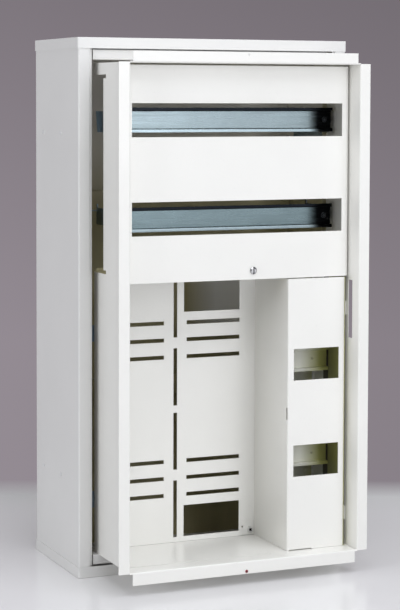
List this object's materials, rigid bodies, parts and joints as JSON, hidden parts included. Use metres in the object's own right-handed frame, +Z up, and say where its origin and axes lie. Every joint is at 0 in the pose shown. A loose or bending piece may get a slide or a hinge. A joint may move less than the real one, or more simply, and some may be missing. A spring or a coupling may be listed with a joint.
{
  "type": "recessed electricity meter and distribution cabinet",
  "caption": "Recessed sheet-steel cabinet whose flanged sleeve slides in a wall casing and holds a slotted meter plate, mounting rails and slotted covers; its door is absent.",
  "frame": {"origin": "middle of the underside of the casing, at half its depth", "axes": "+Z up, -Y out of the front where the covers are, +X to the right seen from the front"},
  "size_m": [0.427, 0.3148, 0.775],
  "materials": {
    "powder_coat": "white satin powder coat on sheet steel",
    "zinc_plated": "zinc-plated steel, bluish passivation",
    "fastener_steel": "zinc-plated fasteners",
    "brass": "plain brass",
    "chrome": "bright plated",
    "red_plastic": "moulded plastic"
  },
  "bodies": {
    "casing": {"casing_shell": "powder_coat", "casing_bottom_cap": "powder_coat", "casing_top_cap": "powder_coat", "bottom_rim_channel": "powder_coat", "top_rim_channel": "powder_coat", "bottom_entry_plate": "powder_coat", "top_entry_plate": "powder_coat", "bottom_entry_screws": "fastener_steel", "top_entry_screws": "fastener_steel", "upper_crossbar": "powder_coat", "lower_crossbar": "powder_coat", "left_backing_strips": "zinc_plated", "right_backing_strips": "zinc_plated", "left_side_rivets": "fastener_steel", "right_side_rivets": "fastener_steel", "earth_stud": "brass", "earth_nut_and_washer": "brass"},
    "sleeve": {"sleeve": "powder_coat", "flange_plug": "red_plastic", "left_guide_ears": "zinc_plated", "right_guide_ears": "zinc_plated", "plate_screws": "fastener_steel", "cross_channel": "powder_coat", "lower_cover": "powder_coat", "meter_plate": "powder_coat", "corner_bracket": "powder_coat", "corner_screw": "fastener_steel", "upper_rail": "zinc_plated", "lower_rail": "zinc_plated", "upper_rail_bracket_left": "zinc_plated", "upper_rail_bracket_right": "zinc_plated", "lower_rail_bracket_left": "zinc_plated", "lower_rail_bracket_right": "zinc_plated", "rail_screws": "fastener_steel", "bracket_rivets": "fastener_steel", "upper_short_rail": "powder_coat", "lower_short_rail": "powder_coat", "upper_short_rail_post": "powder_coat", "lower_short_rail_post": "powder_coat", "short_rail_screws": "fastener_steel"},
    "upper_cover": {"upper_cover": "powder_coat"},
    "cover_lock": {"cover_lock": "chrome"}
  },
  "joints": [
    {"name": "sleeve_slide", "type": "slide", "parent": "casing", "child": "sleeve", "axis": [0, 1, 0], "range_m": [0, 0.118]},
    {"name": "upper_cover_lift", "type": "slide", "parent": "sleeve", "child": "upper_cover", "axis": [0, -1, 0], "range_m": [0, 0.08]},
    {"name": "cover_lock_turn", "type": "hinge", "parent": "upper_cover", "child": "cover_lock", "pos_m": [0.0188, -0.187, 0.444], "axis": [0, 1, 0], "range_deg": [0, 90]}
  ]
}
